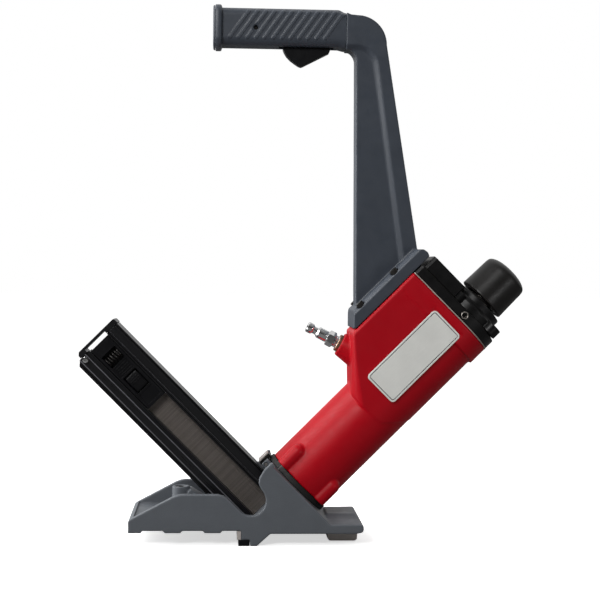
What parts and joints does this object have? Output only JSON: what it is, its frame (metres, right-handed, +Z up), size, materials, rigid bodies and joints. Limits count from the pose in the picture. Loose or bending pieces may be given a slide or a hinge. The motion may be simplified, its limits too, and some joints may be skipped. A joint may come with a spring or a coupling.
{
  "type": "flooring nailer",
  "caption": "Mallet-struck pneumatic flooring nailer: slanted barrel with strike cap, wide base with nose hook, sloped cleat magazine and a tall loop handle.",
  "frame": {"origin": "centre of the whole tool's footprint, at floor level under the nose hook", "axes": "+Z up, +X from the magazine towards the rear shoe and strike cap, +Y away from the side that carries the name plate"},
  "size_m": [0.4505, 0.1, 0.5376],
  "materials": {
    "red_paint": "satin red paint on cast aluminium",
    "grey_cast": "satin dark blue-grey paint on cast aluminium",
    "grey_base": "satin grey paint on cast aluminium",
    "black_anodised": "satin black",
    "black_plastic": "matte black",
    "black_rubber": "matte black",
    "chrome": "bright plated",
    "steel": "ground",
    "black_steel": "black oxide",
    "brass": "machined",
    "gasket": "pressed fibre, pale",
    "plate": "satin blank plate",
    "cleat": "collated steel, brown glue",
    "aluminium": "machined"
  },
  "bodies": {
    "frame": {"base_casting": "grey_base", "hook_pad_front": "black_plastic", "hook_pad_rear": "black_plastic", "nose_wear_plate_front": "chrome", "nose_wear_plate_rear": "chrome", "nose_guide_plate": "steel", "nose_rear_plate": "steel", "rear_shoe": "steel", "shoe_screw_1": "black_steel", "shoe_screw_2": "black_steel", "base_screw_1": "black_steel", "base_screw_2": "black_steel", "base_screw_3": "black_steel", "base_screw_4": "black_steel", "tray_screw": "black_steel", "barrel_housing": "red_paint", "collar_gasket": "black_rubber", "bumper": "black_rubber", "cylinder_sleeve": "aluminium", "inlet_bushing": "brass", "air_plug": "chrome", "head_gasket": "gasket", "head_plate": "black_anodised", "valve_cap": "black_anodised", "head_screw_1": "black_steel", "head_screw_2": "black_steel", "head_screw_3": "black_steel", "head_screw_4": "black_steel", "head_side_screw": "steel", "name_plate": "plate", "cap_spring": "steel", "handle_casting": "grey_cast", "grip_sleeve": "grey_cast", "grip_end_cap": "grey_cast", "grip_pin": "black_steel", "flange_screw_1": "black_steel", "flange_screw_2": "black_steel", "flange_screw_3": "black_steel", "flange_screw_4": "black_steel", "trigger_pin": "steel", "trigger_spring": "steel", "magazine_lower_rail": "black_anodised", "magazine_upper_rail": "black_anodised", "magazine_end_cap": "black_anodised", "magazine_end_bolt": "chrome", "magazine_screw_1": "black_steel", "magazine_screw_2": "black_steel", "cleat_strip": "cleat", "latch_pin": "steel"},
    "striker": {"strike_cap": "black_plastic", "valve_stem": "steel"},
    "piston": {"piston": "aluminium", "piston_ring": "black_rubber", "driver_blade": "steel"},
    "trigger": {"trigger": "black_plastic"},
    "pusher": {"pusher": "black_plastic", "pusher_spring": "black_steel"},
    "pusher_latch": {"pusher_latch": "black_plastic"},
    "magazine_latch": {"magazine_latch": "black_steel", "latch_plate": "chrome"}
  },
  "joints": [
    {"name": "strike_cap_slide", "type": "slide", "parent": "frame", "child": "striker", "axis": [-0.7071, 0, -0.7071], "range_m": [0, 0.009], "stiffness_N_per_m": 900, "springref_m": -0.012, "deforming": ["cap_spring"]},
    {"name": "piston_slide", "type": "slide", "parent": "frame", "child": "piston", "axis": [-0.7071, 0, -0.7071], "range_m": [0, 0.076]},
    {"name": "trigger_hinge", "type": "hinge", "parent": "frame", "child": "trigger", "pos_m": [0.0185, 0, 0.506], "axis": [0, 1, 0], "range_deg": [0, 8], "stiffness_Nm_per_rad": 0.4, "springref_deg": -20.05, "deforming": ["trigger_spring"]},
    {"name": "pusher_slide", "type": "slide", "parent": "frame", "child": "pusher", "axis": [0.7071, 0, -0.7071], "range_m": [0, 0.15], "deforming": ["cleat_strip"]},
    {"name": "pusher_latch_hinge", "type": "hinge", "parent": "pusher", "child": "pusher_latch", "pos_m": [-0.16176, -0.0096, 0.15358], "axis": [0.7071, 0, 0.7071], "range_deg": [0, 12], "stiffness_Nm_per_rad": 0.05, "springref_deg": -11.46},
    {"name": "magazine_latch_hinge", "type": "hinge", "parent": "frame", "child": "magazine_latch", "pos_m": [-0.03667, 0, 0.07545], "axis": [0, -1, 0], "range_deg": [0, 16]}
  ]
}
